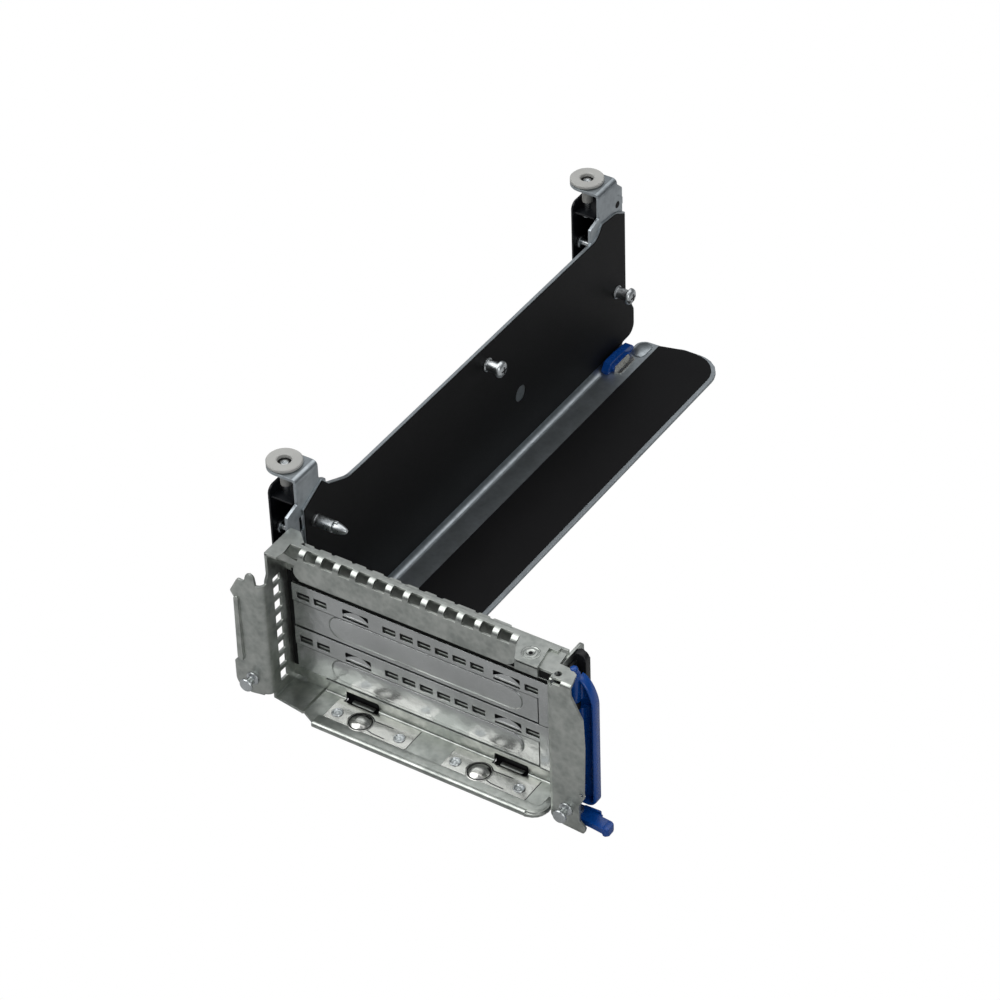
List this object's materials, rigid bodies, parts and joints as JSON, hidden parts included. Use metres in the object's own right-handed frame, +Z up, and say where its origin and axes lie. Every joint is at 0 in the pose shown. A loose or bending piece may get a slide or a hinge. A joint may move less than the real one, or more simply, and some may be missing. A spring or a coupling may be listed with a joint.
{
  "type": "riser cage bracket",
  "caption": "Folded steel riser cage bracket with vented slot covers, a long insulated panel, screw feet and a blue latch.",
  "frame": {"origin": "on the ground under the middle of the cage's bounding box", "axes": "+Y along the long panel away from the slot covers, +X from the panel towards the latch, +Z up"},
  "size_m": [0.157, 0.261, 0.0851],
  "materials": {
    "zinc_sheet": "zinc-plated, mottled satin",
    "panel_sheet": "zinc-plated, satin",
    "bright_cover": "polished stainless",
    "bright_spring": "polished spring steel",
    "plated_steel": "bright zinc",
    "black_film": "matte insulating film",
    "black_guard": "black coated",
    "black_plastic": "moulded",
    "pad_plastic": "moulded light grey",
    "blue_plastic": "glossy moulded"
  },
  "bodies": {
    "frame": {"faceplate": "zinc_sheet", "right_bracket": "zinc_sheet", "slot_frame": "zinc_sheet", "lower_slot_cover": "bright_cover", "upper_slot_cover": "bright_cover", "left_spring_strip": "bright_spring", "right_spring_strip": "bright_spring", "spring_strip_rivets": "plated_steel", "left_guide_pin": "plated_steel", "right_guide_pin": "plated_steel", "bracket_rivet": "plated_steel", "wall_rivets": "plated_steel", "main_panel": "panel_sheet", "wall_film": "black_film", "floor_film": "black_film", "near_foot_pad": "pad_plastic", "far_foot_pad": "pad_plastic", "near_guard": "black_guard", "far_guard": "black_guard", "near_guard_rivet": "plated_steel", "far_guard_rivet": "plated_steel", "snap_pin": "plated_steel", "middle_standoff": "plated_steel", "far_standoff": "plated_steel", "middle_screw": "plated_steel", "far_screw": "plated_steel", "latch_pin": "plated_steel", "latch_guide": "black_plastic", "lever_pin": "plated_steel", "rear_clip_tab": "blue_plastic", "rear_clip": "bright_spring"},
    "latch": {"retainer_latch": "blue_plastic"},
    "lever": {"release_lever": "blue_plastic"},
    "near_screw": {"near_captive_screw": "plated_steel"},
    "far_screw_body": {"far_captive_screw": "plated_steel"}
  },
  "joints": [
    {"name": "latch_turn", "type": "hinge", "parent": "frame", "child": "latch", "pos_m": [0.06236, -0.1167, 0.035], "axis": [0, 0, 1], "range_deg": [0, 50]},
    {"name": "lever_turn", "type": "hinge", "parent": "frame", "child": "lever", "pos_m": [0.06487, -0.1195, 0.0028], "axis": [0, 0, 1], "range_deg": [0, 15]},
    {"name": "near_screw_turn", "type": "hinge", "parent": "frame", "child": "near_screw", "pos_m": [-0.07214, -0.0925, 0.074], "axis": [0, 0, 1], "continuous": true},
    {"name": "far_screw_turn", "type": "hinge", "parent": "frame", "child": "far_screw_body", "pos_m": [-0.07214, 0.1107, 0.074], "axis": [0, 0, 1], "continuous": true}
  ]
}
